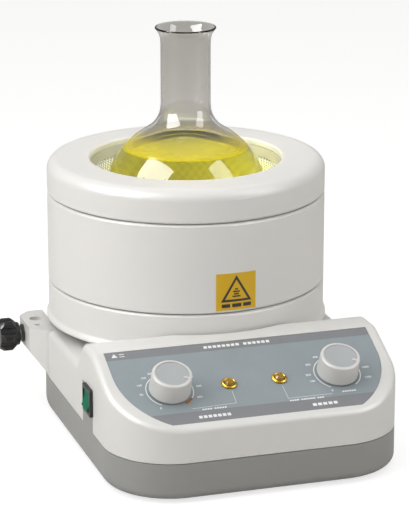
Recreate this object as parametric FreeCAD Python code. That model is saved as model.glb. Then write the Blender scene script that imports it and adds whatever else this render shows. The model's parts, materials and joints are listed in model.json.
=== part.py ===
import FreeCAD, Part

import math
import os

from FreeCAD import Vector as V

# Round bottom flask standing in a stirring heating mantle.
# Millimetres. +Z is up, the drum axis is x = y = 0, the bench is z = 0 and
# the control panel faces -Y.

# --- driving dimensions ------------------------------------------------------
DRUM_R = 140.0              # outside radius of the round heater drum
HALF_WIDTH = 144.6          # housing half width and radius of its round rear
FRONT_Y = -267.6            # front wall of the housing
FRONT_CORNER_R = 66.0       # front corners in plan
WALL = 3.2                  # moulded housing wall
FEET_H = 3.0                # rubber feet under the tray
SEAM_Z = 39.0               # top of the grey tray
SEAM_GAP = 0.8              # shadow line between tray and cover
DECK_Z = 90.0               # flat deck that the drum stands over
PANEL_TOP_Y = -162.0        # upper edge of the sloping control panel
PANEL_TOP_Z = 119.0
PANEL_SLOPE = 24.0          # degrees
RIDGE_Y = -130.0            # where the raised console begins
WEDGE_FOOT_Y = -106.0
EDGE_R = 6.0                # rounding of the cover's upper edge
DRUM_GAP = 3.4              # console to drum, radially

DRUM_FLOOR_Z = 99.0         # lower lip of the drum
GROOVE_LOW_Z = 138.0        # joints between the drum's three shells
GROOVE_HIGH_Z = 228.5
GROOVE_W = 1.2
DRUM_TOP_Z = 262.0
SHELL_T = 2.8
MOUTH_R = 96.5              # opening in the drum's top

BULB_R = 83.0               # outside radius of the flask's bulb
BULB_Z = 217.0              # its centre
GLASS_T = 2.2
NECK_R = 25.0
SHOULDER_R = 28.0           # fillet from bulb to neck
FLARE_Z = 386.4             # where the neck's wall turns out to its lip
FLARE_BEND = 14.0           # outside radius of that turn
LIP_R = 31.0                # outer corner of the lip, before its edge is rounded
LIP_ROUNDING = 1.05
LIQUID_Z = 271.0            # level of the liquid
WELL_GAP = 0.5              # bulb to heating well
WELL_T = 3.0

STIR_R = 4.5
STIR_L = 45.0
STIR_Z = 143.2

KNOB_X = 83.5               # panel positions: across, and down from the top edge
CONTROL_V = 60.0
KNOB_R = 20.0
KNOB_H = 21.0
LAMP_X = 25.0
POINTER_DEG = -30.0         # where the knobs' pointers stand

SWITCH_Y = -153.5           # middle of the rocker switch on the left wall
SWITCH_Z = 69.8
SWITCH_SIZE = 27.5          # square bezel
SWITCH_PROUD = 3.4
ROCKER_TILT = 11.0          # degrees either side of its middle
TAB_Y = (-165.0, -129.0)    # the tray's upright tab that carries the switch
TAB_TOP_Z = 82.0

ROD_X = -148.0              # vertical bore for a support rod
ROD_Y = 45.0
ROD_BORE_R = 6.25
ROD_BORE_FLOOR_Z = 60.0
CLAMP_Z = 76.0
EAR_X = -161.0              # outer face of the rod lug

INLET_Z = 64.0              # mains inlet at the rear
INLET_FACE_Y = 141.0
INLET_SCREW_X = 20.0
INLET_PINS = [(-7.0, -1.8), (7.0, -1.8), (0.0, 2.4)]    # across, up from INLET_Z

RUN = 0.05                  # radial clearance of a running fit
FIT = 0.1                   # radial clearance of screws in their holes


# --- helpers -----------------------------------------------------------------
def save(name, shape):
    shape.exportStep("parts/" + name + ".step")


def box(x0, x1, y0, y1, z0, z1):
    return Part.makeBox(x1 - x0, y1 - y0, z1 - z0, V(x0, y0, z0))


def post(r, x, y, z0, z1):
    return Part.makeCylinder(r, z1 - z0, V(x, y, z0))


def rod(r, start, end):
    way = end - start
    return Part.makeCylinder(r, way.Length, start, way)


def fuse(shapes):
    return shapes[0].multiFuse(shapes[1:]).removeSplitter() if len(shapes) > 1 else shapes[0]


def rounded_wire(points, radii):
    """Closed wire through points, with each corner rounded to its radius."""
    count = len(points)
    starts = []
    ends = []
    mids = []
    for i, p in enumerate(points):
        before = points[i - 1] - p
        after = points[(i + 1) % count] - p
        r = radii[i]
        if r <= 0:
            starts.append(p)
            ends.append(p)
            mids.append(None)
            continue
        u = before.normalize()
        v = after.normalize()
        half = u.getAngle(v) / 2.0
        reach = r / math.tan(half)
        middle = (u + v).normalize()
        starts.append(p + u * reach)
        ends.append(p + v * reach)
        mids.append(p + middle * (r / math.sin(half) - r))
    edges = []
    for i in range(count):
        if mids[i] is not None:
            edges.append(Part.Arc(starts[i], mids[i], ends[i]).toShape())
        here = ends[i]
        there = starts[(i + 1) % count]
        if (there - here).Length > 1e-6:
            edges.append(Part.LineSegment(here, there).toShape())
    return Part.Wire(edges)


def turned(section):
    """Revolve (radius, height) or (radius, height, rounding) points about Z."""
    points = [V(s[0], 0, s[1]) for s in section]
    radii = [s[2] if len(s) > 2 else 0 for s in section]
    face = Part.Face(rounded_wire(points, radii))
    return face.revolve(V(0, 0, 0), V(0, 0, 1), 360)


def turned_edges(edges):
    face = Part.Face(Part.Wire(Part.__sortEdges__(edges)))
    return face.revolve(V(0, 0, 0), V(0, 0, 1), 360)


def line(p, q):
    return Part.LineSegment(p, q).toShape()


def arc(p, m, q):
    return Part.Arc(p, m, q).toShape()


def on_circle(cx, cz, r, degrees):
    a = math.radians(degrees)
    return V(cx + r * math.cos(a), 0, cz + r * math.sin(a))


def rounded_box(x0, x1, y0, y1, z0, z1, r):
    """Box with its four vertical edges rounded."""
    corners = [V(x0, y0, z0), V(x1, y0, z0), V(x1, y1, z0), V(x0, y1, z0)]
    return Part.Face(rounded_wire(corners, [r] * 4)).extrude(V(0, 0, z1 - z0))


def placed(shape, x=0.0, y=0.0):
    moved = shape.copy()
    moved.translate(V(x, y, 0))
    return moved


PANEL = FreeCAD.Placement(
    V(0, PANEL_TOP_Y, PANEL_TOP_Z), FreeCAD.Rotation(V(1, 0, 0), PANEL_SLOPE))


def on_panel(shape):
    """Place a shape made with X across, -Y down the slope and Z out of the panel."""
    moved = shape.copy()
    moved.Placement = PANEL.multiply(moved.Placement)
    return moved


# --- housing -----------------------------------------------------------------
def plan_prism(inset, z0, z1):
    """The housing's outline: round rear, straight sides, rounded front corners."""
    w = HALF_WIDTH - inset
    front = FRONT_Y + inset
    r = FRONT_CORNER_R - inset
    d = r * math.sqrt(0.5)
    cx = w - r
    cy = front + r
    wire = Part.Wire([
        arc(V(w, 0, z0), V(0, w, z0), V(-w, 0, z0)),
        line(V(-w, 0, z0), V(-w, cy, z0)),
        arc(V(-w, cy, z0), V(-cx - d, cy - d, z0), V(-cx, front, z0)),
        line(V(-cx, front, z0), V(cx, front, z0)),
        arc(V(cx, front, z0), V(cx + d, cy - d, z0), V(w, cy, z0)),
        line(V(w, cy, z0), V(w, 0, z0)),
    ])
    return Part.Face(wire).extrude(V(0, 0, z1 - z0))


def outline_gap(x, y):
    """Distance from (x, y) to the housing's outline."""
    cx = HALF_WIDTH - FRONT_CORNER_R
    cy = FRONT_Y + FRONT_CORNER_R
    if y >= 0:
        return abs(math.hypot(x, y) - HALF_WIDTH)
    if y >= cy:
        return abs(abs(x) - HALF_WIDTH)
    if abs(x) <= cx:
        return abs(y - FRONT_Y)
    return abs(math.hypot(abs(x) - cx, y - cy) - FRONT_CORNER_R)


def side_profile(inset, z0):
    """Cover seen from the side: deck, wedge, ridge, flat and sloping panel."""
    run = 130.0
    slope = math.tan(math.radians(PANEL_SLOPE))
    end_y = PANEL_TOP_Y - run
    end_z = PANEL_TOP_Z - run * slope
    half_turn = math.atan2(PANEL_TOP_Z - DECK_Z, WEDGE_FOOT_Y - RIDGE_Y) / 2.0
    lean = inset * math.tan(half_turn)
    bend = inset * math.tan(math.radians(PANEL_SLOPE) / 2.0)
    points = [
        V(0, 160, z0),
        V(0, 160, DECK_Z - inset),
        V(0, WEDGE_FOOT_Y - lean, DECK_Z - inset),
        V(0, RIDGE_Y - lean, PANEL_TOP_Z - inset),
        V(0, PANEL_TOP_Y - bend, PANEL_TOP_Z - inset),
        V(0, end_y, end_z - inset / math.cos(math.radians(PANEL_SLOPE))),
        V(0, end_y, z0),
    ]
    radii = [0, 0, 8.0 + inset, 9.0 - inset, 20.0 - inset, 0, 0]
    face = Part.Face(rounded_wire(points, radii))
    solid = face.extrude(V(400, 0, 0))
    solid.translate(V(-200, 0, 0))
    return solid


def cover_outside():
    bottom = SEAM_Z + SEAM_GAP
    solid = plan_prism(0, bottom, 140).common(side_profile(0, bottom - 5))
    rim = []
    for edge in solid.Edges:
        mid = edge.valueAt((edge.FirstParameter + edge.LastParameter) / 2.0)
        ends = [v.Point for v in edge.Vertexes]
        upright = len(ends) == 2 and math.hypot(ends[0].x - ends[1].x, ends[0].y - ends[1].y) < 1e-4
        low = all(abs(p.z - bottom) < 1e-4 for p in ends) and abs(mid.z - bottom) < 1e-4
        if outline_gap(mid.x, mid.y) < 1e-3 and not upright and not low:
            rim.append(edge)
    solid = solid.makeFillet(EDGE_R, rim)
    drum_hole = post(DRUM_R + DRUM_GAP, 0, 0, DECK_Z, 200)
    return solid.cut(drum_hole)


def cover_inside():
    low = SEAM_Z - 5
    solid = plan_prism(WALL, low, 140).common(side_profile(WALL, low))
    solid = solid.cut(post(DRUM_R + DRUM_GAP + WALL, 0, 0, DECK_Z - WALL, 200))
    return solid.cut(box(-33, 33, 137.6, 160, 46, 82))


SCREW_SPOTS = [(-110, 62), (110, 62), (-130, -70), (130, -70), (-104, -236), (104, -236)]
FOOT_SPOTS = [(-96, 84), (96, 84), (-100, -212), (100, -212), (0, 0)]
DRUM_BOLT_R = 112.0
DRUM_BOLT_ANGLES = (45, 135, 225, 315)


def around(radius, angles):
    return [(radius * math.cos(math.radians(a)), radius * math.sin(math.radians(a))) for a in angles]


def panel_outline(grow, z0, z1):
    """Printed panel: square upper corners, sides curving in to a short lower edge."""
    half = 132.5 + grow
    side = 35.0
    r = 85.0 + grow
    cx = 47.5
    top = -1.6 + grow
    bottom = -106.6 - grow
    reach = math.sqrt(r * r - (bottom + side) ** 2)
    foot = math.degrees(math.asin((-side - bottom) / r)) / 2.0
    mx = cx + r * math.cos(math.radians(foot))
    my = -side - r * math.sin(math.radians(foot))
    wire = Part.Wire([
        line(V(-half, top, z0), V(half, top, z0)),
        line(V(half, top, z0), V(half, -side, z0)),
        arc(V(half, -side, z0), V(mx, my, z0), V(cx + reach, bottom, z0)),
        line(V(cx + reach, bottom, z0), V(-cx - reach, bottom, z0)),
        arc(V(-cx - reach, bottom, z0), V(-mx, my, z0), V(-half, -side, z0)),
        line(V(-half, -side, z0), V(-half, top, z0)),
    ])
    return Part.Face(wire).extrude(V(0, 0, z1 - z0))


RECESS = 1.2                # panel recess, and the overlay lying in it
OVERLAY_TOP = -0.4
BUSH_R = 4.5                # potentiometer bush


def panel_holes():
    holes = []
    for side in (-1, 1):
        holes.append(post(BUSH_R + FIT, side * KNOB_X, -CONTROL_V, -6, 4))
        holes.append(post(5.0 + FIT, side * LAMP_X, -CONTROL_V, -6, 4))
    return holes


def ear():
    """Lug on the left wall that takes a support rod."""
    plan = [V(-134, 2, 42), V(-146, 2, 42), V(EAR_X, 18, 42),
            V(EAR_X, 60, 42), V(-150, 72, 42), V(-134, 72, 42)]
    block = Part.Face(rounded_wire(plan, [0, 6, 4, 4, 6, 0])).extrude(V(0, 0, DECK_Z - 42))
    slope = [V(-180, 0, 30), V(-180, 0, 64), V(EAR_X, 0, 64), V(-144.6, 0, 42), V(-140, 0, 30)]
    under = Part.Face(rounded_wire(slope, [0, 0, 0, 0, 0])).extrude(V(0, 100, 0))
    pocket = [V(-154.5, 27.5, 84), V(-147.5, 27.5, 84), V(-149.5, 18.5, 84)]
    relief = Part.Face(rounded_wire(pocket, [1.2, 1.2, 1.2])).extrude(V(0, 0, 10))
    return block.cut(under).cut(relief)


def upper_housing():
    cover = cover_outside().cut(cover_inside())
    under_skin = side_profile(WALL - 0.5, SEAM_Z)
    bosses = [post(5.5, x, y, SEAM_Z + SEAM_GAP, PANEL_TOP_Z).common(under_skin) for x, y in SCREW_SPOTS]
    cover = fuse([cover] + bosses + [ear()])
    cuts = [on_panel(panel_outline(0.3, -RECESS, 6))]
    cuts += [on_panel(hole) for hole in panel_holes()]
    cuts += [post(2.0 + RUN, x, y, SEAM_Z, 56) for x, y in SCREW_SPOTS]
    cuts += [post(3.0 + FIT, x, y, DECK_Z - 6, DECK_Z + 2) for x, y in around(DRUM_BOLT_R, DRUM_BOLT_ANGLES)]
    cuts += [post(2.0 + RUN, x, y, DECK_Z - 6, DECK_Z + 2) for x, y in MOTOR_PILLARS]
    cuts.append(post(16, 0, 0, DECK_Z - 6, DECK_Z + 2))
    cuts.append(box(-HALF_WIDTH - 1, -140, TAB_Y[0] - 0.4, TAB_Y[1] + 0.4, SEAM_Z, TAB_TOP_Z + 0.4))
    cuts.append(post(ROD_BORE_R, ROD_X, ROD_Y, ROD_BORE_FLOOR_Z, DECK_Z + 2))
    cuts.append(rod(4.3, V(EAR_X - 1, ROD_Y, CLAMP_Z), V(ROD_X, ROD_Y, CLAMP_Z)))
    cuts.append(rod(6.5, V(EAR_X - 1, ROD_Y, CLAMP_Z), V(EAR_X + 5.0, ROD_Y, CLAMP_Z)))
    cuts.append(box(-28, 28, 141, 160, 50, 78))
    cuts.append(rounded_inlet_hole())
    for side in (-1, 1):
        cuts.append(inlet_screw_hole(side))
    for column in range(5):
        for side in (-1, 1):
            a = math.radians(90 + side * (24 + 4 * column))
            slot = box(-1.2, 1.2, -8, 8, 50, 76)
            slot.rotate(V(0, 0, 0), V(0, 0, 1), math.degrees(a) - 90)
            slot.translate(V(143 * math.cos(a), 143 * math.sin(a), 0))
            cuts.append(slot)
    return cover.cut(Part.makeCompound(cuts))


def tray_outside():
    solid = plan_prism(0, FEET_H, SEAM_Z)
    low = [e for e in solid.Edges if all(abs(v.Point.z - FEET_H) < 1e-4 for v in e.Vertexes)
           and abs(e.CenterOfMass.z - FEET_H) < 1e-4]
    return solid.makeFillet(8.0, low)


def base_tray():
    floor = FEET_H + WALL
    tray = tray_outside().cut(plan_prism(WALL, floor + 5, SEAM_Z + 5))
    tray = tray.cut(plan_prism(8.4, floor, floor + 6))
    tab = box(-HALF_WIDTH, -HALF_WIDTH + WALL, TAB_Y[0], TAB_Y[1], 20, TAB_TOP_Z)
    tray = fuse([tray, tab] + [post(6.5, x, y, floor - 0.5, SEAM_Z) for x, y in SCREW_SPOTS])
    cuts = []
    for x, y in SCREW_SPOTS:
        cuts.append(post(4.4, x, y, 0, 33))
        cuts.append(post(2.0 + RUN, x, y, 30, SEAM_Z + 1))
    cuts += [post(3.0 + RUN, x, y, 0, 12) for x, y in FOOT_SPOTS]
    cuts.append(box(-150, -140, SWITCH_Y - 11.6, SWITCH_Y + 11.4, SWITCH_Z - 11.6, SWITCH_Z + 11.6))
    for row in range(6):
        cuts.append(rounded_box(-45, 45, -150 + 12 * row, -145 + 12 * row, 0, 12, 2.4))
    return tray.cut(Part.makeCompound(cuts))


def rubber_feet():
    foot = turned([(0, 0), (9.0, 0, 1.0), (10.0, FEET_H), (3.0, FEET_H), (3.0, FEET_H + 2.8),
                   (0, FEET_H + 2.8)])
    return Part.makeCompound([placed(foot, x, y) for x, y in FOOT_SPOTS])


def case_screws():
    screw = turned([(0, 29.5), (4.0, 29.5, 0.6), (4.0, 33), (2.0, 33), (2.0, 52, 0.5), (0, 52)])
    screw = screw.cut(box(-2.6, 2.6, -0.5, 0.5, 29, 30.4))
    return Part.makeCompound([placed(screw, x, y) for x, y in SCREW_SPOTS])


# --- control panel -----------------------------------------------------------
def panel_overlay():
    plate = panel_outline(0, -RECESS, OVERLAY_TOP)
    return on_panel(plate.cut(Part.makeCompound(panel_holes())))


def lamp_parts():
    """Bezel, lens and body of one pilot lamp, on the Z axis."""
    bezel = turned([(4.9, OVERLAY_TOP), (7.25, OVERLAY_TOP), (7.25, 1.0, 0.8), (5.9, 2.2, 0.6),
                    (4.9, 1.4)])
    lens = turned([(0, -4.0), (4.8, -4.0), (4.8, 2.0, 0.4), (3.2, 4.2, 0.6), (0, 4.8)])
    body = turned([(0, -24), (4.2, -24, 0.8), (4.2, -12), (5.0, -12), (5.0, -4.05), (0, -4.05)])
    return bezel, lens, body


def pair_on_panel(shape, x):
    return on_panel(Part.makeCompound([placed(shape, side * x, -CONTROL_V) for side in (-1, 1)]))


def potentiometer():
    case = turned([(3.0 + RUN, -15.2), (12.0, -15.2, 1.0), (12.0, -WALL - 0.02), (BUSH_R, -WALL - 0.02),
                   (BUSH_R, 4.0, 0.5), (3.0 + RUN, 4.0)])
    wafer = rounded_box(-8, 8, -18, 0, -12, -10.6, 2)
    return fuse([case, wafer.cut(post(5, 0, 0, -14, -8))])


def pot_nut():
    points = []
    for k in range(6):
        a = math.radians(60 * k)
        points.append(V(7.2 * math.cos(a), 7.2 * math.sin(a), OVERLAY_TOP))
    hexagon = Part.Face(rounded_wire(points, [0.6] * 6)).extrude(V(0, 0, 2.0))
    return hexagon.cut(post(BUSH_R + 0.02, 0, 0, -2, 4))


POINTER_W = 2.4
CAP_R = 16.0
CAP_DEPTH = 1.6


def pointer_tongue(extra):
    tongue = box(11.5 - extra, CAP_R + 1.5, -POINTER_W / 2 - extra, POINTER_W / 2 + extra,
                 KNOB_H - CAP_DEPTH - 1, KNOB_H + 1)
    tongue.rotate(V(0, 0, 0), V(0, 0, 1), POINTER_DEG)
    return tongue


def knob_body():
    body = turned([(9.5, 0.9), (KNOB_R, 0.9, 0.4), (KNOB_R - 1.0, KNOB_H, 1.6), (0, KNOB_H), (0, 14.05),
                   (3.0 + 0.02, 14.05), (3.0 + 0.02, 6.0), (9.5, 6.0)])
    recess = post(CAP_R, 0, 0, KNOB_H - CAP_DEPTH, KNOB_H + 1)
    return body.cut(recess.cut(pointer_tongue(0)))


def knob_cap():
    disc = turned([(0, KNOB_H - CAP_DEPTH), (CAP_R - 0.15, KNOB_H - CAP_DEPTH),
                   (CAP_R - 0.15, KNOB_H - 0.5, 0.3), (0, KNOB_H - 0.3)])
    return disc.cut(pointer_tongue(0.15))


def knob_shaft():
    return turned([(0, -14.0), (3.0, -14.0, 0.3), (3.0, 14.0, 0.4), (0, 14.0)])


# --- rocker switch on the left wall ------------------------------------------
ROCKER_PIVOT_X = -144.4
ROCKER_Y = 10.0             # half sizes of the key
ROCKER_Z = 9.1


def block_x(x0, x1, half_y, half_z, r):
    """Block along X about the switch's middle, with its four long edges rounded."""
    corners = [V(x0, SWITCH_Y - half_y, SWITCH_Z - half_z), V(x0, SWITCH_Y + half_y, SWITCH_Z - half_z),
               V(x0, SWITCH_Y + half_y, SWITCH_Z + half_z), V(x0, SWITCH_Y - half_y, SWITCH_Z + half_z)]
    return Part.Face(rounded_wire(corners, [r] * 4)).extrude(V(x1 - x0, 0, 0))


def switch_case():
    face_x = -HALF_WIDTH - SWITCH_PROUD
    half = SWITCH_SIZE / 2
    flange = block_x(face_x, -HALF_WIDTH - 0.02, half, half, 2.0)
    rim = [e for e in flange.Edges if abs(e.CenterOfMass.x - face_x) < 1e-3]
    flange = flange.makeFillet(1.1, rim)
    body = block_x(-HALF_WIDTH - 0.5, -118, 11.2, 11.2, 0.8)
    cavity = block_x(-160, -139, ROCKER_Y + 0.3, ROCKER_Z + 0.9, 0.6)
    works = block_x(-137.5, -120, 9.5, 9.5, 0.6)
    case = fuse([flange, body]).cut(cavity).cut(works)
    bearing = rod(1.6 + RUN, V(ROCKER_PIVOT_X, SWITCH_Y - 10.9, SWITCH_Z),
                  V(ROCKER_PIVOT_X, SWITCH_Y + 10.9, SWITCH_Z))
    return case.cut(bearing)


def switch_terminals():
    tags = []
    for z in (-7, 0, 7):
        for y in (-4.5, 4.5):
            tags.append(box(-118, -108, SWITCH_Y + y - 2.4, SWITCH_Y + y + 2.4,
                            SWITCH_Z + z - 0.4, SWITCH_Z + z + 0.4))
    return Part.makeCompound(tags)


def rocker_button():
    """Key with a shallow hollow across its face, turning on two trunnions along Y."""
    px = ROCKER_PIVOT_X
    y0 = SWITCH_Y - ROCKER_Y
    outline = [V(px - 4.0, y0, SWITCH_Z - ROCKER_Z), V(px + 2.4, y0, SWITCH_Z - ROCKER_Z + 0.5),
               V(px + 2.4, y0, SWITCH_Z + ROCKER_Z - 0.5), V(px - 4.0, y0, SWITCH_Z + ROCKER_Z),
               V(px - 2.6, y0, SWITCH_Z)]
    key = Part.Face(rounded_wire(outline, [0.8, 0.5, 0.5, 0.8, 30.0])).extrude(V(0, 2 * ROCKER_Y, 0))
    trunnion = rod(1.6, V(px, y0 - 0.8, SWITCH_Z), V(px, y0 + 2 * ROCKER_Y + 0.8, SWITCH_Z))
    key = fuse([key, trunnion])
    key.rotate(V(px, SWITCH_Y, SWITCH_Z), V(0, 1, 0), ROCKER_TILT)
    return key


# --- mains inlet at the rear -------------------------------------------------
def block_y(x0, x1, z0, z1, y0, y1, r):
    """Block along Y with its four long edges rounded."""
    corners = [V(x0, y0, z0), V(x1, y0, z0), V(x1, y0, z1), V(x0, y0, z1)]
    return Part.Face(rounded_wire(corners, [r] * 4)).extrude(V(0, y1 - y0, 0))


def inlet_screw_hole(side):
    x = side * INLET_SCREW_X
    return rod(1.6, V(x, 150, INLET_Z), V(x, 134, INLET_Z))


def rounded_inlet_hole():
    return block_y(-14.1, 14.1, INLET_Z - 10.4, INLET_Z + 10.4, 130, 150, 3.0)


def power_inlet():
    flange = block_y(-25, 25, INLET_Z - 11.5, INLET_Z + 11.5, INLET_FACE_Y, INLET_FACE_Y + 2.4, 4.0)
    body = block_y(-14, 14, INLET_Z - 10.3, INLET_Z + 10.3, 114, INLET_FACE_Y + 0.5, 3.0)
    socket = block_y(-12.1, 12.1, INLET_Z - 8.3, INLET_Z + 8.3, 122, 150, 3.0)
    holes = [inlet_screw_hole(side) for side in (-1, 1)]
    pins = [block_y(x - 1.0, x + 1.0, INLET_Z + z - 2.0, INLET_Z + z + 2.0, 110, 134, 0.4)
            for x, z in INLET_PINS]
    return fuse([flange, body]).cut(Part.makeCompound([socket] + holes + pins))


def inlet_pins():
    return Part.makeCompound([
        block_y(x - 1.0, x + 1.0, INLET_Z + z - 2.0, INLET_Z + z + 2.0, 106, 134, 0.4)
        for x, z in INLET_PINS])


def inlet_screws():
    screws = []
    for side in (-1, 1):
        x = side * INLET_SCREW_X
        head = rod(2.9, V(x, 143.42, INLET_Z), V(x, 145.0, INLET_Z))
        shank = rod(1.5, V(x, 135.5, INLET_Z), V(x, 143.42, INLET_Z))
        slot = box(x - 2.2, x + 2.2, 144.3, 146, INLET_Z - 0.4, INLET_Z + 0.4)
        screws.append(fuse([head, shank]).cut(slot))
    return Part.makeCompound(screws)


# --- heater drum -------------------------------------------------------------
LINER_R = 135.2
WELL_R = BULB_R + WELL_GAP
SENSOR_X = 40.0


def drum_lower_ring():
    inner = DRUM_R - SHELL_T
    top = GROOVE_LOW_Z - GROOVE_W / 2
    return turned([(inner, DRUM_FLOOR_Z), (DRUM_R + 2.3, DRUM_FLOOR_Z, 0.9),
                   (DRUM_R + 2.3, DRUM_FLOOR_Z + 2.6, 1.2), (DRUM_R, DRUM_FLOOR_Z + 6.5, 4.0),
                   (DRUM_R, top, 2.4), (inner, top)])


def drum_middle_band():
    inner = DRUM_R - SHELL_T
    low = GROOVE_LOW_Z + GROOVE_W / 2
    top = GROOVE_HIGH_Z - GROOVE_W / 2
    return turned([(inner, low), (DRUM_R, low, 2.4), (DRUM_R, top, 2.4), (inner, top)])


def drum_top_cap():
    inner = DRUM_R - SHELL_T
    low = GROOVE_HIGH_Z + GROOVE_W / 2
    return turned([(inner, low), (DRUM_R, low, 2.4), (DRUM_R, DRUM_TOP_Z, 11.0),
                   (MOUTH_R, DRUM_TOP_Z, 2.4), (MOUTH_R, DRUM_TOP_Z - 6.0, 0.6),
                   (MOUTH_R + 2.6, DRUM_TOP_Z - 6.0, 0.6), (MOUTH_R + 2.6, DRUM_TOP_Z - SHELL_T, 0.6),
                   (inner, DRUM_TOP_Z - SHELL_T, 8.2)])


def drum_liner():
    return turned([(LINER_R, 101.1), (LINER_R + 1.4, 101.1), (LINER_R + 1.4, 247), (LINER_R, 247)])


def drum_floor():
    plate = post(LINER_R + 1.4, 0, 0, 99.4, 101.0)
    holes = [post(3.0 + FIT, x, y, 98, 103) for x, y in around(DRUM_BOLT_R, DRUM_BOLT_ANGLES)]
    holes.append(post(12.0, 0, 0, 98, 103))
    return plate.cut(Part.makeCompound(holes))


def drum_spacers():
    spacer = turned([(3.0 + FIT, DECK_Z), (8.0, DECK_Z, 0.5), (8.0, 99.38, 0.5), (3.0 + FIT, 99.38)])
    return Part.makeCompound([placed(spacer, x, y) for x, y in around(DRUM_BOLT_R, DRUM_BOLT_ANGLES)])


def drum_bolts():
    low = DECK_Z - WALL
    bolt = turned([(0, low - 4), (5.0, low - 4, 0.6), (5.0, low - 0.02), (3.0, low - 0.02), (3.0, 106, 0.4),
                   (0, 106)])
    return Part.makeCompound([placed(bolt, x, y) for x, y in around(DRUM_BOLT_R, DRUM_BOLT_ANGLES)])


def heat_shield():
    plate = post(126, 0, 0, 119.6, 121.0)
    return plate.cut(post(2.3, SENSOR_X, 0, 118, 123))


SHIELD_PILLAR_R = 92.0


def shield_pillars():
    return Part.makeCompound([post(4.0, x, y, 101.02, 119.58)
                              for x, y in around(SHIELD_PILLAR_R, (0, 90, 180, 270))])


def heating_well():
    """Knitted cup: a half sphere under the bulb, flaring out to a clamped rim."""
    outer = WELL_R + WELL_T
    return turned_edges([
        arc(V(0, 0, BULB_Z - WELL_R), on_circle(0, BULB_Z, WELL_R, -45), V(WELL_R, 0, BULB_Z)),
        arc(V(WELL_R, 0, BULB_Z), V(85.4, 0, 232.0), V(91.0, 0, 244.2)),
        arc(V(91.0, 0, 244.2), V(92.6, 0, 246.0), V(95.0, 0, 246.6)),
        line(V(95.0, 0, 246.6), V(101.0, 0, 246.6)),
        line(V(101.0, 0, 246.6), V(101.0, 0, 243.6)),
        line(V(101.0, 0, 243.6), V(94.6, 0, 243.6)),
        arc(V(94.6, 0, 243.6), V(88.4, 0, 231.2), V(outer, 0, BULB_Z)),
        arc(V(outer, 0, BULB_Z), on_circle(0, BULB_Z, outer, -45), V(0, 0, BULB_Z - outer)),
        line(V(0, 0, BULB_Z - outer), V(0, 0, BULB_Z - WELL_R)),
    ])


def heating_element():
    """Resistance wire laid in rings on the outside of the cup."""
    rings = []
    wire_r = 1.2
    path_r = WELL_R + WELL_T + wire_r + 0.05
    for degrees in (22, 32, 42, 52, 62, 72, 82):
        a = math.radians(degrees)
        centre = V(0, 0, BULB_Z - path_r * math.cos(a))
        rings.append(Part.makeTorus(path_r * math.sin(a), wire_r, centre))
    return Part.makeCompound(rings)


def well_retainer():
    return turned([(95.2, 241.2), (106, 241.2, 0.5), (106, 243.55, 0.5), (95.2, 243.55)])


def well_collar():
    return turned([(94.2, 246.65), (101.0, 246.65), (101.0, 255.9), (96.3, 255.9, 0.6)])


def insulation_bowl():
    r = WELL_R + WELL_T + 4.0
    bowl = turned_edges([
        arc(V(0, 0, BULB_Z - r), on_circle(0, BULB_Z, r, -45), V(r, 0, BULB_Z)),
        line(V(r, 0, BULB_Z), V(96, 0, 240.6)),
        line(V(96, 0, 240.6), V(132, 0, 240.6)),
        line(V(132, 0, 240.6), V(132, 0, 121.1)),
        line(V(132, 0, 121.1), V(0, 0, 121.1)),
        line(V(0, 0, 121.1), V(0, 0, BULB_Z - r)),
    ])
    return bowl.cut(post(2.3, SENSOR_X, 0, 118, 150))


def temperature_sensor():
    tip = BULB_Z - math.sqrt((WELL_R + WELL_T) ** 2 - (SENSOR_X - 2) ** 2) - 0.3
    return turned([(0, 108), (2.0, 108), (2.0, tip, 1.2), (0, tip)]).translated(V(SENSOR_X, 0, 0))


LABEL_W = 41.0
LABEL_DEG = 3.07            # how far right of the front the plate's middle is


def label_plate():
    low = 141.2
    high = 178.2
    span = math.degrees(LABEL_W / DRUM_R)
    outer = Part.makeCylinder(DRUM_R + 0.42, high - low, V(0, 0, low), V(0, 0, 1), span)
    plate = outer.cut(post(DRUM_R + 0.02, 0, 0, low - 5, high + 5))
    plate.rotate(V(0, 0, 0), V(0, 0, 1), -90 + LABEL_DEG - span / 2)
    return plate


# --- stirring drive under the drum -------------------------------------------
MOTOR_R = 28.0
MOTOR_TOP_Z = 78.0
MOTOR_PILLARS = [(-38, -24), (38, -24), (38, 24), (-38, 24)]
MAGNET_X = 26.0


def stir_motor():
    can = turned([(0, 36), (MOTOR_R, 36, 2.0), (MOTOR_R, MOTOR_TOP_Z, 1.0), (10.0, MOTOR_TOP_Z),
                  (10.0, 83.0, 0.5), (0, 83.0)])
    return can.cut(post(3.0 + RUN, 0, 0, 60, 90))


def motor_bracket():
    plate = rounded_box(-46, 46, -32, 32, MOTOR_TOP_Z + 0.02, MOTOR_TOP_Z + 2.4, 6)
    holes = [post(2.0 + FIT, x, y, 76, 84) for x, y in MOTOR_PILLARS]
    holes.append(post(10.0 + FIT, 0, 0, 76, 84))
    holes += [post(1.5 + FIT, x, 0, 76, 84) for x in (-18, 18)]
    return plate.cut(Part.makeCompound(holes))


def motor_screws():
    screws = []
    for x, y in MOTOR_PILLARS:
        head = post(4.0, x, y, MOTOR_TOP_Z - 3.0, MOTOR_TOP_Z)
        screws.append(fuse([head, post(2.0, x, y, MOTOR_TOP_Z, 89.6)]))
    return Part.makeCompound(screws)


def motor_spacers():
    top = DECK_Z - WALL - 0.02
    tube = turned([(2.0 + FIT, 80.42), (4.5, 80.42), (4.5, top), (2.0 + FIT, top)])
    return Part.makeCompound([placed(tube, x, y) for x, y in MOTOR_PILLARS])


def motor_shaft():
    return turned([(0, 60.4), (3.0, 60.4, 0.4), (3.0, 112.0, 0.4), (0, 112.0)])


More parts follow.
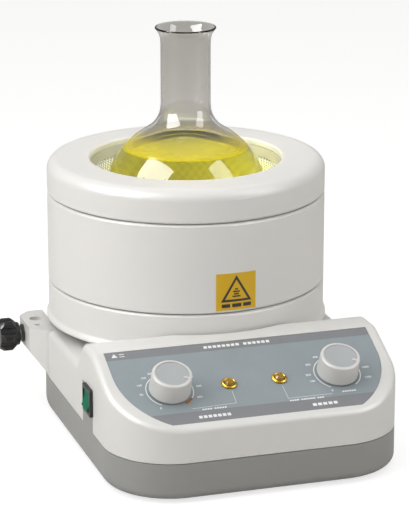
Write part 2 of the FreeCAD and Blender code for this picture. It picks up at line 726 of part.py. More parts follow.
def magnet_holder():
    bar = rounded_box(-38, 38, -12, 12, 105.0, 113.0, 11.9)
    hub = post(8.0, 0, 0, 102.4, 105.5)
    cuts = [post(3.0 + 0.02, 0, 0, 100, 115)]
    cuts += [post(9.0 + 0.02, side * MAGNET_X, 0, 108, 115) for side in (-1, 1)]
    return fuse([bar, hub]).cut(Part.makeCompound(cuts))


def drive_magnets():
    disc = turned([(0, 108.02), (9.0, 108.02), (9.0, 114.0, 0.5), (0, 114.0)])
    return Part.makeCompound([placed(disc, side * MAGNET_X) for side in (-1, 1)])


# --- electrics in the tray ---------------------------------------------------
BOARD = (-70, 70, -232, -168)
BOARD_Z = 18.0
BOARD_POSTS = [(-64, -226), (64, -226), (64, -174), (-64, -174)]


def control_board():
    x0, x1, y0, y1 = BOARD
    plate = rounded_box(x0, x1, y0, y1, BOARD_Z, BOARD_Z + 1.6, 2)
    return plate.cut(Part.makeCompound([post(1.6, x, y, 15, 22) for x, y in BOARD_POSTS]))


def board_standoffs():
    floor = FEET_H + WALL
    return Part.makeCompound([post(3.0, x, y, floor + 0.02, BOARD_Z - 0.02) for x, y in BOARD_POSTS])


def board_components():
    top = BOARD_Z + 1.62
    chips = [rounded_box(x, x + 10, -196, -189, top, top + 3.4, 0.5) for x in (-40, -22, 16)]
    cans = [turned([(0, top), (r, top, 0.4), (r, top + h, 0.8), (0, top + h)]).translated(V(x, y, 0))
            for x, y, r, h in [(-52, -212, 6.0, 17.0), (-36, -214, 4.0, 11.0), (52, -190, 5.0, 14.0)]]
    relay = rounded_box(30, 48, -222, -207, top, top + 15, 0.8)
    return Part.makeCompound(chips + cans + [relay])


def triac_heat_sink():
    top = BOARD_Z + 1.62
    foot = box(-20, 20, -224, -206, top, top + 3)
    fins = [box(-20 + 6 * k, -18 + 6 * k, -224, -206, top + 2, top + 20) for k in range(7)]
    return fuse([foot] + fins)


def transformer():
    core = rounded_box(-88, -40, 62, 100, 8.2, 44, 1.5)
    winding = rounded_box(-80, -48, 54, 108, 13, 39, 4)
    return fuse([core, winding, rounded_box(-96, -32, 70, 92, 6.22, 8.4, 2)])


TERMINAL_XS = [42, 53, 64, 75, 86]


def terminal_block():
    floor = FEET_H + WALL
    block = rounded_box(34, 94, 68, 84, floor + 0.02, 22, 1.5)
    wells = []
    for x in TERMINAL_XS:
        wells.append(post(2.6, x, 76, 12, 24))
        wells.append(rod(2.0, V(x, 60, 12), V(x, 90, 12)))
    return block.cut(Part.makeCompound(wells))


def terminal_screws():
    screws = []
    for x in TERMINAL_XS:
        head = post(2.4, x, 76, 14.2, 18.5)
        slot = box(x - 2.5, x + 2.5, 75.6, 76.4, 17.6, 19)
        screws.append(head.cut(slot))
    return Part.makeCompound(screws)


# --- support rod clamp -------------------------------------------------------
PAD_REST_GAP = 2.25         # pad to rod bore with the clamp open
PAD_TIP_X = ROD_X - ROD_BORE_R - PAD_REST_GAP
CLAMP_SCREW_R = 4.0
PAD_L = 2.6
NECK_X = EAR_X - 5.0


def clamp_nut():
    def along(x0, x1, r):
        return rod(r, V(x0, ROD_Y, CLAMP_Z), V(x1, ROD_Y, CLAMP_Z))
    solid = fuse([along(EAR_X - 2.0, EAR_X - 0.02, 9.0), along(EAR_X - 0.02, EAR_X + 4.9, 6.4)])
    return solid.cut(along(EAR_X - 4, EAR_X + 6, CLAMP_SCREW_R))


def clamp_pad():
    start = V(PAD_TIP_X - PAD_L, ROD_Y, CLAMP_Z)
    return rod(3.4, start, V(PAD_TIP_X, ROD_Y, CLAMP_Z))


def clamp_screw():
    end_x = PAD_TIP_X - PAD_L - 0.02
    return rod(CLAMP_SCREW_R - RUN, V(NECK_X - 12, ROD_Y, CLAMP_Z), V(end_x, ROD_Y, CLAMP_Z))


def clamp_handwheel():
    """Six lobes, bevelled both ways, on a round neck; made along +Z, then laid along -X."""
    length = 17.0
    lobes = [post(13.4, 0, 0, 4, 4 + length)]
    for k in range(6):
        a = math.radians(60 * k + 30)
        lobes.append(post(4.4, 12.6 * math.cos(a), 12.6 * math.sin(a), 4, 4 + length))
    head = fuse(lobes)
    envelope = turned([(0, 4), (13.5, 4), (17.2, 8.5), (17.2, 4 + length - 5.0), (13.8, 4 + length, 1.5),
                       (0, 4 + length)])
    head = head.common(envelope)
    neck = turned([(0, 0), (11.6, 0, 0.6), (12.4, 4.5), (0, 4.5)])
    wheel = fuse([head, neck]).cut(post(CLAMP_SCREW_R - RUN + 0.01, 0, 0, -1, 12.01))
    wheel.rotate(V(0, 0, 0), V(0, 1, 0), -90)
    wheel.translate(V(NECK_X, ROD_Y, CLAMP_Z))
    return wheel


# --- flask -------------------------------------------------------------------
def shoulder_centre():
    x = NECK_R + SHOULDER_R
    return x, BULB_Z + math.sqrt((BULB_R + SHOULDER_R) ** 2 - x ** 2)


def flask_wall(bulb_r, shoulder_r, neck_r):
    """Bulb, shoulder and neck base of one surface: edges, and where the neck starts."""
    cx, cz = shoulder_centre()
    lean = math.degrees(math.atan2(cz - BULB_Z, cx))
    tangent = on_circle(0, BULB_Z, bulb_r, lean)
    low = V(0, 0, BULB_Z - bulb_r)
    bulb = arc(low, on_circle(0, BULB_Z, bulb_r, (lean - 90) / 2), tangent)
    mid = on_circle(cx, cz, shoulder_r, (lean + 360) / 2)
    neck = V(neck_r, 0, cz)
    return [bulb, arc(tangent, mid, neck)], low, neck


def flask_glass():
    outer, low_out, neck_out = flask_wall(BULB_R, SHOULDER_R, NECK_R)
    inner, low_in, neck_in = flask_wall(BULB_R - GLASS_T, SHOULDER_R + GLASS_T, NECK_R - GLASS_T)
    neck_in_r = NECK_R - GLASS_T
    body = turned_edges(outer + inner + [line(neck_out, neck_in), line(low_in, low_out)])
    base = neck_out.z
    lip_z = FLARE_Z + LIP_R - NECK_R
    across_wall = GLASS_T * math.sqrt(0.5)
    inner_turn_z = FLARE_Z + GLASS_T * math.tan(math.radians(22.5))
    neck = turned([(NECK_R, base), (NECK_R, FLARE_Z, FLARE_BEND), (LIP_R, lip_z, LIP_ROUNDING),
                   (LIP_R - across_wall, lip_z + across_wall, LIP_ROUNDING),
                   (neck_in_r, inner_turn_z, FLARE_BEND + GLASS_T), (neck_in_r, base)])
    return fuse([body, neck])


def liquid():
    r = BULB_R - GLASS_T - 0.02
    rise = math.degrees(math.asin((LIQUID_Z - BULB_Z) / r))
    edge = on_circle(0, BULB_Z, r, rise)
    low = V(0, 0, BULB_Z - r)
    body = turned_edges([
        arc(low, on_circle(0, BULB_Z, r, (rise - 90) / 2), edge),
        line(edge, V(0, 0, LIQUID_Z)),
        line(V(0, 0, LIQUID_Z), low),
    ])
    return body.cut(post(STIR_L / 2 + 0.8, 0, 0, 120, STIR_Z + STIR_R + 1.3))


def stir_bar_coat():
    bar = rod(STIR_R, V(-STIR_L / 2, 0, STIR_Z), V(STIR_L / 2, 0, STIR_Z))
    ends = [e for e in bar.Edges if abs(abs(e.CenterOfMass.x) - STIR_L / 2) < 1e-3]
    bar = bar.makeFillet(STIR_R - 0.3, ends)
    belt = rod(STIR_R + 0.7, V(-2, 0, STIR_Z), V(2, 0, STIR_Z))
    belt = belt.makeFillet(0.6, [e for e in belt.Edges if abs(abs(e.CenterOfMass.x) - 2) < 1e-3])
    return fuse([bar, belt]).cut(rod(3.0, V(-17, 0, STIR_Z), V(17, 0, STIR_Z)))


def stir_bar_magnet():
    return rod(2.98, V(-16.9, 0, STIR_Z), V(16.9, 0, STIR_Z))


# --- write every piece -------------------------------------------------------
def main():
    os.makedirs("parts", exist_ok=True)
    lamp_bezel, lamp_lens, lamp_body = lamp_parts()
    pieces = {
        "base_tray": base_tray(),
        "rubber_feet": rubber_feet(),
        "case_screws": case_screws(),
        "upper_housing": upper_housing(),
        "panel_overlay": panel_overlay(),
        "lamp_bezels": pair_on_panel(lamp_bezel, LAMP_X),
        "lamp_lenses": pair_on_panel(lamp_lens, LAMP_X),
        "lamp_bodies": pair_on_panel(lamp_body, LAMP_X),
        "pot_cases": pair_on_panel(potentiometer(), KNOB_X),
        "pot_nuts": pair_on_panel(pot_nut(), KNOB_X),
        "switch_case": switch_case(),
        "switch_terminals": switch_terminals(),
        "rocker_button": rocker_button(),
        "power_inlet": power_inlet(),
        "inlet_pins": inlet_pins(),
        "inlet_screws": inlet_screws(),
        "drum_lower_ring": drum_lower_ring(),
        "drum_middle_band": drum_middle_band(),
        "drum_top_cap": drum_top_cap(),
        "drum_liner": drum_liner(),
        "drum_floor": drum_floor(),
        "drum_spacers": drum_spacers(),
        "drum_bolts": drum_bolts(),
        "label_plate": label_plate(),
        "heat_shield": heat_shield(),
        "shield_pillars": shield_pillars(),
        "insulation_bowl": insulation_bowl(),
        "heating_element": heating_element(),
        "heating_well": heating_well(),
        "well_retainer": well_retainer(),
        "well_collar": well_collar(),
        "temperature_sensor": temperature_sensor(),
        "stir_motor": stir_motor(),
        "motor_bracket": motor_bracket(),
        "motor_screws": motor_screws(),
        "motor_spacers": motor_spacers(),
        "motor_shaft": motor_shaft(),
        "magnet_holder": magnet_holder(),
        "drive_magnets": drive_magnets(),
        "control_board": control_board(),
        "board_standoffs": board_standoffs(),
        "board_components": board_components(),
        "triac_heat_sink": triac_heat_sink(),
        "transformer": transformer(),
        "terminal_block": terminal_block(),
        "terminal_screws": terminal_screws(),
        "clamp_nut": clamp_nut(),
        "clamp_pad": clamp_pad(),
        "clamp_screw": clamp_screw(),
        "clamp_handwheel": clamp_handwheel(),
        "flask_glass": flask_glass(),
        "liquid": liquid(),
        "stir_bar_coat": stir_bar_coat(),
        "stir_bar_magnet": stir_bar_magnet(),
    }
    for side, name in ((-1, "temperature"), (1, "speed")):
        for part, shape in (("knob", knob_body()), ("knob_cap", knob_cap()), ("knob_shaft", knob_shaft())):
            pieces[name + "_" + part] = on_panel(placed(shape, side * KNOB_X, -CONTROL_V))
    for name, shape in pieces.items():
        if not shape.isValid():
            print("not valid:", name)
        print(name, len(shape.Solids), "solids", round(sum(s.Volume for s in shape.Solids)), "mm3")
        save(name, shape)
    print(len(pieces), "nodes")


main()
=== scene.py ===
"""Looks of a round bottom flask standing in its stirring heating mantle.

Metres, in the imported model's frame: +Z is up, the drum's axis is x = y = 0,
the bench is z = 0 and the control panel faces -Y.
"""
import json
import math

import bmesh
import bpy
from mathutils import Matrix, Vector


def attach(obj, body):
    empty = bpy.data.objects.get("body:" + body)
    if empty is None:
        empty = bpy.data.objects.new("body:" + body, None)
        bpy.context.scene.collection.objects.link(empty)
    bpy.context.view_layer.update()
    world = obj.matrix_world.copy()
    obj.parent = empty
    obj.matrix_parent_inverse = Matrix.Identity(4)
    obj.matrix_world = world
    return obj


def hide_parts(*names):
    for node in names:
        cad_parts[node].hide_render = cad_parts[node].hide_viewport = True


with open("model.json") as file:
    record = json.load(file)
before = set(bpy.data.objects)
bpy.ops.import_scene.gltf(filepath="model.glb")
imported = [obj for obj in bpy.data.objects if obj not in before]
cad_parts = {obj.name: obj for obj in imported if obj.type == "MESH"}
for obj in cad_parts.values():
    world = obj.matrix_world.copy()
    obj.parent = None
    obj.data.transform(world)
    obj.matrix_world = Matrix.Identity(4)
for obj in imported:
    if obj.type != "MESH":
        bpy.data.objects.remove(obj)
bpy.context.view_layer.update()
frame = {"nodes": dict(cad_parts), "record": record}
scene = bpy.context.scene
MM = 0.001

# Shapes that a finish follows too.
LIQUID_Z = 271.0 * MM
PANEL_Y, PANEL_Z, PANEL_TILT = -162.0 * MM, 119.0 * MM, math.radians(24.0)
BAND_ENDS, BAND_STARTS = 12.5 * MM, 91.5 * MM    # the print's darker bands, down the slope
KNIT_STITCHES = 112.0                            # round the well
KNIT_ROWS = 2 * math.pi / (6.2 * MM)             # a row every 6.2 mm along the yarn
# Painted shade on the knit inside the cup fades out between these heights.
KNIT_SHADE_FADES_FROM, KNIT_SHADE_FADES_TO = 229.0 * MM, 237.0 * MM


# --- materials ---------------------------------------------------------------
class Graph:
    """A material under construction: one Principled shader and the nodes that feed it.

    Extra sockets are given by name, with underscores for spaces.
    """

    def __init__(self, name, colour, roughness, **sockets):
        self.material = bpy.data.materials.new(name)
        self.material.use_nodes = True
        self.tree = self.material.node_tree
        self.shader = self.tree.nodes["Principled BSDF"]
        self.set("Base Color", (*colour, 1.0))
        self.set("Roughness", roughness)
        for socket, value in sockets.items():
            self.set(socket.replace("_", " "), value)
        self.place = self.add("ShaderNodeTexCoord").outputs["Object"]

    def set(self, socket, value):
        self.shader.inputs[socket].default_value = value

    def add(self, kind, inputs=None, **settings):
        node = self.tree.nodes.new(kind)
        for key, value in settings.items():
            setattr(node, key, value)
        for key, value in (inputs or {}).items():
            if isinstance(value, bpy.types.NodeSocket):
                self.tree.links.new(value, node.inputs[key])
            else:
                node.inputs[key].default_value = value
        return node

    def drive(self, socket, source):
        self.tree.links.new(source, self.shader.inputs[socket])

    def noise(self, scale, detail=3.0):
        inputs = {"Vector": self.place, "Scale": scale, "Detail": detail}
        return self.add("ShaderNodeTexNoise", inputs).outputs["Fac"]

    def span(self, source, low, high, start=0.3, end=0.7):
        return self.add("ShaderNodeMapRange", {
            "Value": source, "From Min": start, "From Max": end, "To Min": low, "To Max": high}).outputs[0]

    def math(self, operation, a, b=0.0):
        return self.add("ShaderNodeMath", {0: a, 1: b}, operation=operation).outputs[0]

    def mix(self, factor, a, b, blend="MIX"):
        node = self.add("ShaderNodeMix", data_type="RGBA", blend_type=blend)
        for index, value in ((0, factor), (6, a), (7, b)):
            if isinstance(value, bpy.types.NodeSocket):
                self.tree.links.new(value, node.inputs[index])
            else:
                node.inputs[index].default_value = value
        return node.outputs[2]

    def mottle(self, colour, scale, amount):
        """Slight patches of lighter and darker colour; colour is RGBA or a socket."""
        shade = self.span(self.noise(scale), 1.0 - amount, 1.0 + amount)
        tint = self.add("ShaderNodeCombineColor", {0: shade, 1: shade, 2: shade}).outputs[0]
        self.drive("Base Color", self.mix(1.0, colour, tint, "MULTIPLY"))

    def polish(self, scale, low, high):
        """Roughness that drifts between two values."""
        self.drive("Roughness", self.span(self.noise(scale, 4.0), low, high))

    def relief(self, height, distance):
        """Bumps a given distance high, in metres."""
        self.drive("Normal", self.add("ShaderNodeBump", {"Height": height, "Distance": distance}).outputs[0])


def finish(name, colour, roughness, mottle=(30.0, 0.03), grain=(900.0, 0.00003), swing=0.05, **sockets):
    """A moulded, painted or metal surface with its own grain, sheen and slight unevenness."""
    graph = Graph(name, colour, roughness, **sockets)
    graph.mottle((*colour, 1.0), *mottle)
    graph.polish(mottle[0] * 4.0, roughness - swing, roughness + swing)
    graph.relief(graph.noise(grain[0], 5.0), grain[1])
    return graph.material


# Painted: the liquid's yellow that the glass wall shows just above the waterline.
PAINTED_WATERLINE_YELLOW = (0.80, 0.67, 0.03, 1.0)


def through(name, colour, tint, ior, ripple, density=0.0, film=None):
    """Glass or liquid: refracts what is seen, and lets the lamps' light pass tinted.

    ripple is (scale, detail, height) of the slight waves in it. density is that of a dye
    right through it. film is (start, end, amount): painted yellow on the wall, standing in for the
    liquid's colour that the glass shows just above the waterline; at its amount at the first height and gone
    by the second.
    """
    graph = Graph(name, colour, 0.0, Transmission_Weight=1.0, IOR=ior)
    graph.relief(graph.noise(*ripple[:2]), ripple[2])
    clear = graph.add("ShaderNodeBsdfTransparent", {"Color": (*tint, 1.0)}).outputs[0]
    path = graph.add("ShaderNodeLightPath").outputs
    seen = graph.shader.outputs[0]
    if film:
        start, end, amount = film
        # A painted yellow band on the glass from the waterline up, fading as it rises.
        height = graph.add("ShaderNodeSeparateXYZ", {0: graph.place}).outputs[2]
        fade = graph.math("MULTIPLY", graph.span(height, amount, 0.0, start, end),
                          graph.math("GREATER_THAN", height, start))
        painted_yellow = graph.add("ShaderNodeBsdfDiffuse", {"Color": PAINTED_WATERLINE_YELLOW}).outputs[0]
        seen = graph.add("ShaderNodeMixShader", {0: fade, 1: seen, 2: painted_yellow}).outputs[0]
    pick = graph.add("ShaderNodeMixShader", {0: path["Is Shadow Ray"], 1: seen, 2: clear})
    out = graph.tree.nodes["Material Output"]
    graph.tree.links.new(pick.outputs[0], out.inputs["Surface"])
    if density:
        dye = graph.add("ShaderNodeVolumeAbsorption", {"Color": (*colour, 1.0), "Density": density})
        graph.tree.links.new(dye.outputs[0], out.inputs["Volume"])
        graph.set("Base Color", (1.0, 1.0, 1.0, 1.0))
    return graph.material


def panel_material():
    """Grey-blue film with a darker band along its upper and lower edges."""
    graph = Graph("panel_film_print", (0.30, 0.34, 0.365), 0.42)
    slope = (0.0, -math.cos(PANEL_TILT), -math.sin(PANEL_TILT))
    down = graph.add("ShaderNodeVectorMath", {0: graph.place, 1: slope},
                     operation="DOT_PRODUCT").outputs["Value"]
    top = -PANEL_Y * math.cos(PANEL_TILT) - PANEL_Z * math.sin(PANEL_TILT)
    upper = graph.math("LESS_THAN", down, top + BAND_ENDS)
    lower = graph.math("GREATER_THAN", down, top + BAND_STARTS)
    edge = graph.math("ADD", upper, lower)
    tone = graph.mix(edge, (0.300, 0.345, 0.370, 1.0), (0.245, 0.255, 0.270, 1.0))
    graph.mottle(tone, 60.0, 0.02)
    graph.set("Specular IOR Level", 0.3)
    graph.polish(200.0, 0.42, 0.50)
    graph.relief(graph.noise(2600.0), 0.00002)
    return graph.material


def knit_material():
    """Glass-fibre yarn: pale beads with shaded gaps, in rows round the well; darker and flatter low in the
    cup, which is painted shade under the flask.
    """
    graph = Graph("knit_yarn", (0.70, 0.70, 0.68), 0.55)
    x, y, z = graph.add("ShaderNodeSeparateXYZ", {0: graph.place}).outputs
    around = graph.math("MULTIPLY", graph.math("ARCTAN2", y, x), KNIT_STITCHES)
    reach = graph.add("ShaderNodeVectorMath", {0: graph.place, 1: (1.0, 1.0, 0.0)},
                      operation="MULTIPLY").outputs[0]
    radius = graph.add("ShaderNodeVectorMath", {0: reach}, operation="LENGTH").outputs["Value"]
    along = graph.math("MULTIPLY", graph.math("ADD", radius, z), KNIT_ROWS)
    bead = graph.math("MULTIPLY", graph.math("COSINE", around), graph.math("COSINE", along))
    bead = graph.math("ADD", bead, graph.math("MULTIPLY", graph.noise(420.0), 0.9))
    # Below these heights the yarn is painted darker and flatter: painted shade in the cup under the flask and
    # liquid.
    unshaded_share = graph.span(z, 0.0, 1.0, KNIT_SHADE_FADES_FROM, KNIT_SHADE_FADES_TO)
    gap = graph.mix(unshaded_share, (0.60, 0.58, 0.50, 1.0), (0.32, 0.315, 0.30, 1.0))
    yarn = graph.mix(unshaded_share, (0.68, 0.67, 0.63, 1.0), (0.97, 0.97, 0.97, 1.0))
    graph.drive("Base Color", graph.mix(graph.span(bead, 0.0, 1.0, 0.0, 0.75), gap, yarn))
    graph.polish(300.0, 0.45, 0.65)
    graph.relief(graph.noise(2400.0), 0.0001)
    return graph.material


FINISH = {
    "grey_abs": finish("grey_abs", (0.315, 0.318, 0.313), 0.40, mottle=(60.0, 0.01),
                       grain=(1600.0, 0.00003), swing=0.02),
    "rubber_black": finish("rubber_black", (0.02, 0.02, 0.02), 0.8),
    "zinc_steel": finish("zinc_steel", (0.56, 0.56, 0.55), 0.32, Metallic=1.0),
    "white_abs": finish("white_abs", (0.77, 0.765, 0.745), 0.36, mottle=(60.0, 0.006),
                        grain=(1600.0, 0.000012), swing=0.01),
    "panel_film": panel_material(),
    "amber_metal": finish("amber_metal", (0.40, 0.25, 0.035), 0.42, Metallic=1.0),
    "amber_lens": finish("amber_lens", (0.34, 0.19, 0.012), 0.16),
    "black_nylon": finish("black_nylon", (0.018, 0.018, 0.019), 0.4),
    "brass_tags": finish("brass_tags", (0.66, 0.50, 0.22), 0.3, Metallic=1.0),
    "green_key": finish("green_key", (0.002, 0.17, 0.085), 0.5, Specular_IOR_Level=0.08),
    "white_enamel": finish("white_enamel", (0.83, 0.82, 0.80), 0.33, mottle=(60.0, 0.004),
                           grain=(160.0, 0.000003), swing=0.004, Specular_IOR_Level=0.32),
    "dark_sheet": finish("dark_sheet", (0.45, 0.45, 0.44), 0.5),
    "label_film": finish("label_film", (0.76, 0.46, 0.012), 0.5, Specular_IOR_Level=0.3),
    "aluminium_sheet": finish("aluminium_sheet", (0.75, 0.75, 0.76), 0.35, Metallic=1.0),
    "mineral_wool": finish("mineral_wool", (0.62, 0.58, 0.46), 0.9),
    "heater_wire": finish("heater_wire", (0.25, 0.24, 0.23), 0.4, Metallic=1.0),
    "glass_fibre_knit": knit_material(),
    "cream_board": finish("cream_board", (0.54, 0.53, 0.50), 0.7),
    "magnet_nickel": finish("magnet_nickel", (0.6, 0.58, 0.54), 0.25, Metallic=1.0),
    "board_green": finish("board_green", (0.01, 0.12, 0.05), 0.4),
    "white_nylon": finish("white_nylon", (0.75, 0.74, 0.70), 0.5),
    "component_black": finish("component_black", (0.02, 0.02, 0.02), 0.5),
    "transformer_iron": finish("transformer_iron", (0.16, 0.15, 0.14), 0.5, Metallic=0.6),
    "black_phenolic": finish("black_phenolic", (0.012, 0.012, 0.013), 0.3),
    # The glass has a painted yellow band above the waterline (its film), standing in for the liquid's colour
    # seen in the wall.
    "clear_glass": through("flask_borosilicate", (0.988, 0.984, 0.972), (0.93, 0.93, 0.92), 1.47,
                           (9.0, 2.0, 0.0002), film=(LIQUID_Z - 0.2 * MM, LIQUID_Z + 17.0 * MM, 0.50)),
    "yellow_liquid": through("liquid_yellow_dye", (0.955, 0.948, 0.06), (0.92, 0.91, 0.74), 1.33,
                             (9.0, 2.0, 0.0001), density=32.0),
    "ptfe_white": finish("ptfe_white", (0.80, 0.80, 0.78), 0.4),
    "knob_white": finish("knob_white", (0.70, 0.695, 0.675), 0.34, mottle=(60.0, 0.01), swing=0.02),
    "knob_cap_grey": finish("knob_cap_grey", (0.44, 0.46, 0.475), 0.4),
}
INK_WHITE = finish("ink_white", (0.88, 0.89, 0.90), 0.5, grain=(3000.0, 0.00001))
INK_ORANGE = finish("ink_orange", (0.36, 0.13, 0.035), 0.5, grain=(3000.0, 0.00001))
INK_BLACK = finish("ink_black", (0.02, 0.018, 0.015), 0.5, grain=(3000.0, 0.00001))
BLACKENED = {"clamp_nut": finish("blackened_brass", (0.030, 0.028, 0.025), 0.4)}

for entry in frame["record"]["subparts"]:
    part = frame["nodes"][entry["node"]]
    part.data.materials.clear()
    part.data.materials.append(BLACKENED.get(entry["node"], FINISH[entry["material_slot"]]))


# --- shapes ------------------------------------------------------------------
def add_mesh(name, mesh, body, material, smooth=True):
    """Put a finished mesh in the scene, riding on a body, with its material."""
    mesh.materials.clear()
    mesh.materials.append(material)
    for face in mesh.polygons:
        face.use_smooth = smooth
    piece = bpy.data.objects.new(name, mesh)
    scene.collection.objects.link(piece)
    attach(piece, body)
    return piece


def arc_points(centre, radius, start, end, count):
    """(radius, height) points along an arc, angles in degrees from the horizontal."""
    angles = (math.radians(start + (end - start) * i / count) for i in range(count + 1))
    return [(centre[0] + radius * math.cos(a), centre[1] + radius * math.sin(a)) for a in angles]


def evened(points, step):
    """The same line with points a step apart, so that it can be softened."""
    out = [points[0]]
    carried = 0.0
    for (x0, z0), (x1, z1) in zip(points, points[1:]):
        length = math.hypot(x1 - x0, z1 - z0)
        at = step - carried
        while at <= length:
            out.append((x0 + (x1 - x0) * at / length, z0 + (z1 - z0) * at / length))
            at += step
        carried = length - (at - step)
    out.append(points[-1])
    return out


def softened(points, passes):
    """Even out sudden changes of curvature, as blown glass has none."""
    for _ in range(passes):
        middle = [((a[0] + 2 * b[0] + c[0]) / 4, (a[1] + 2 * b[1] + c[1]) / 4)
                  for a, b, c in zip(points, points[1:], points[2:])]
        points = [points[0], *middle, points[-1]]
    return points


def lathe(name, profile, segments=160, wobble=None):
    """Turn a (radius, height) profile in metres about Z; radius 0 closes the end."""
    form = bmesh.new()
    rings = []
    for index, (radius, height) in enumerate(profile):
        if radius < 1e-6:
            rings.append([form.verts.new((0.0, 0.0, height))])
            continue
        ring = []
        for k in range(segments):
            a = 2 * math.pi * k / segments
            r, z = wobble(radius, height, a, index) if wobble else (radius, height)
            ring.append(form.verts.new((r * math.cos(a), r * math.sin(a), z)))
        rings.append(ring)
    for low, high in zip(rings, rings[1:]):
        for k in range(segments):
            j = (k + 1) % segments
            if len(low) == 1:
                form.faces.new((low[0], high[k], high[j]))
            elif len(high) == 1:
                form.faces.new((low[k], high[0], low[j]))
            else:
                form.faces.new((low[k], high[k], high[j], low[j]))
    bmesh.ops.recalc_face_normals(form, faces=form.faces)
    mesh = bpy.data.meshes.new(name)
    form.to_mesh(mesh)
    form.free()
    return mesh


# --- heating well ------------------------------------------------------------
CUP_R, CUP_Z, CUP_T = 83.5 * MM, 217.0 * MM, 3.0 * MM
STITCHES_FROM, STITCHES_FADE = 224.0 * MM, 8.0 * MM     # where they start, and how far up they take to deepen
STITCH_DEPTH, HEM_DEPTH = 0.55 * MM, 0.9 * MM
TURN_R, HEM_R = 91.0 * MM, 92.2 * MM                    # the cup turns out flat here, and its hem starts
WELL_SEGMENTS = 672                                     # six to a stitch


def well():
    """The knitted cup: beads in staggered rows where it flares out under the collar."""
    def stitches(radius, height, angle, index):
        if index >= smooth_from:
            return radius, height
        bead = math.cos(KNIT_STITCHES * angle) * math.cos(KNIT_ROWS * (radius + height))
        depth = STITCH_DEPTH * (1.0 - bead) * min(max((height - STITCHES_FROM) / STITCHES_FADE, 0.0), 1.0)
        if radius > HEM_R:
            depth += HEM_DEPTH * (0.5 - 0.5 * math.cos(KNIT_STITCHES * 0.8 * angle))
        lean = 0.35 if radius < TURN_R else 0.85
        return radius + depth * (1.0 - lean), height - depth * lean

    inner = arc_points((0.0, CUP_Z), CUP_R, -90.0, -10.0, 12)
    flare = arc_points((0.0, CUP_Z), CUP_R, -9.0, 0.0, 6)
    flare += bend_through((83.5, 217.0), (85.4, 232.0), (91.0, 244.2), 50)
    flare += bend_through((91.0, 244.2), (92.6, 246.0), (95.0, 246.6), 12)
    outer = [(x * MM, z * MM) for x, z in ((101.0, 246.6), (101.0, 243.6), (94.6, 243.6),
                                           (90.6, 236.0), (87.9, 227.0))]
    outer += arc_points((0.0, CUP_Z), CUP_R + CUP_T, 0.0, -90.0, 10)
    smooth_from = len(inner) + len(flare)
    profile = [(0.0, inner[0][1])] + inner[1:] + flare + outer[:-1] + [(0.0, outer[-1][1])]
    piece = add_mesh("well_knit", lathe("well_knit", profile, WELL_SEGMENTS, stitches), "housing",
                     FINISH["glass_fibre_knit"])
    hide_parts("heating_well")


def bend_through(start, middle, end, count):
    """Points in metres from start to end along a smooth bend through the middle, given in mm."""
    points = []
    for i in range(1, count + 1):
        t = i / count
        pull = 4 * t * (1 - t)
        points.append(tuple(MM * (a * (1 - t) + b * t + pull * (m - (a + b) / 2))
                            for a, m, b in zip(start, middle, end)))
    return points


# --- flask and liquid --------------------------------------------------------
BULB_R, BULB_Z, GLASS_T = 83.0 * MM, 217.0 * MM, 2.2 * MM
NECK_R, SHOULDER_R = 25.0 * MM, 28.0 * MM
FLARE_Z, FLARE_BEND = 386.4 * MM, 14.0 * MM
LIP_R, LIP_BACK = 31.0 * MM, 1.05 * MM


def flask_side(inset):
    """The wall from the bottom of the bulb to the flared lip, inset from the outside."""
    bulb, bend, neck = BULB_R - inset, SHOULDER_R + inset, NECK_R - inset
    across = neck + bend
    up = math.sqrt((bulb + bend) ** 2 - across ** 2)
    lean = math.degrees(math.atan2(up, across))
    turn = FLARE_BEND + inset
    corner = FLARE_Z + inset * math.tan(math.radians(22.5))
    flare_start = corner - turn * math.tan(math.radians(22.5))
    points = arc_points((0.0, BULB_Z), bulb, -90.0, lean, 120)
    points += arc_points((across, BULB_Z + up), bend, 180.0 + lean, 180.0, 30)
    points += arc_points((neck + turn, flare_start), turn, 180.0, 135.0, 16)
    slant = (inset + LIP_BACK) * math.sqrt(0.5)        # the flare runs at 45 degrees
    points.append((LIP_R - slant, FLARE_Z + LIP_R - NECK_R + (inset - LIP_BACK) * math.sqrt(0.5)))
    return softened(evened(points, 1.5 * MM), 12)


def flask():
    """The blown glass, open at the top, with a rounded lip."""
    outer = flask_side(0.0)
    inner = flask_side(GLASS_T)
    half = GLASS_T / 2
    lip_middle = [(a + b) / 2 for a, b in zip(outer[-1], inner[-1])]
    lip = arc_points(lip_middle, half, -38.0, 128.0, 12)
    profile = outer + lip + inner[::-1]
    profile[0] = (0.0, profile[0][1])
    profile[-1] = (0.0, profile[-1][1])
    piece = add_mesh("flask_blown", lathe("flask_blown", profile, 180), "flask",
                     FINISH["clear_glass"])
    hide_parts("flask_glass")


def liquid():
    """The filling; it overlaps the glass a little, so that no air shows between them."""
    wall = BULB_R - GLASS_T + 0.35 * MM
    climb, climb_w = 0.3 * MM, 5.2 * MM
    rise = math.degrees(math.asin((LIQUID_Z + climb - BULB_Z) / wall))
    side = arc_points((0.0, BULB_Z), wall, -90.0, rise, 110)
    edge = side[-1][0]
    meniscus = [(edge - climb_w * t, LIQUID_Z + climb * (1 - t) ** 2.4)
                for t in (i / 8 for i in range(1, 9))]
    calm = [(edge * f, LIQUID_Z) for f in (0.8, 0.6, 0.4, 0.2)]
    profile = [(0.0, side[0][1])] + side[1:] + meniscus + calm + [(0.0, LIQUID_Z)]
    piece = add_mesh("liquid_filling", lathe("liquid_filling", profile, 160), "flask",
                     FINISH["yellow_liquid"])
    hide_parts("liquid")


